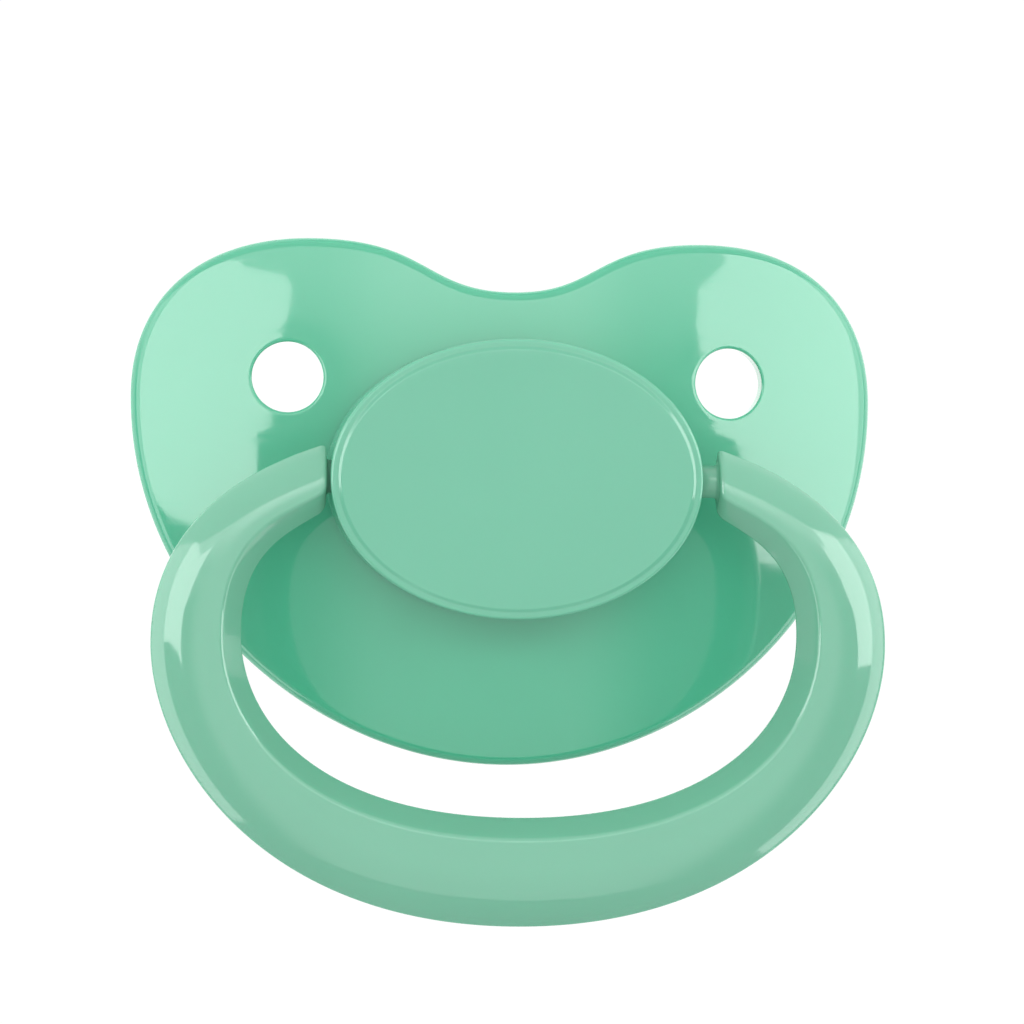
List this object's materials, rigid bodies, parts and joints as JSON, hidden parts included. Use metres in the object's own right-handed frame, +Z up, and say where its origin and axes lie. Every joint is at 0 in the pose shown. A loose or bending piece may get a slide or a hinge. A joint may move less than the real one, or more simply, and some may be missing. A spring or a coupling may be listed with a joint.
{
  "type": "pacifier",
  "caption": "Butterfly pacifier: a curved mouth shield with vent holes, a hollow soft teat behind it, and an oval button in front that carries a swinging open ring handle.",
  "frame": {"origin": "the middle of the shield's back face on the teat's axis, where the mouth holds the part", "axes": "X across the shield, Z up, the teat points to +Y into the mouth and the cover and ring face -Y"},
  "size_m": [0.0614, 0.0412, 0.0555],
  "materials": {
    "mint_plastic": "glossy moulded polypropylene, slightly translucent mint green",
    "plug_plastic": "natural moulded polypropylene",
    "clear_silicone": "clear soft silicone, slightly milky"
  },
  "bodies": {
    "shield_body": {"shield": "mint_plastic", "cover": "mint_plastic", "plug": "plug_plastic", "teat": "clear_silicone"},
    "ring": {"ring_handle": "mint_plastic"}
  },
  "joints": [
    {"name": "ring_hinge", "type": "hinge", "parent": "shield_body", "child": "ring", "pos_m": [0, -0.0052, 0], "axis": [-1, 0, 0], "range_deg": [-26, 195]}
  ]
}
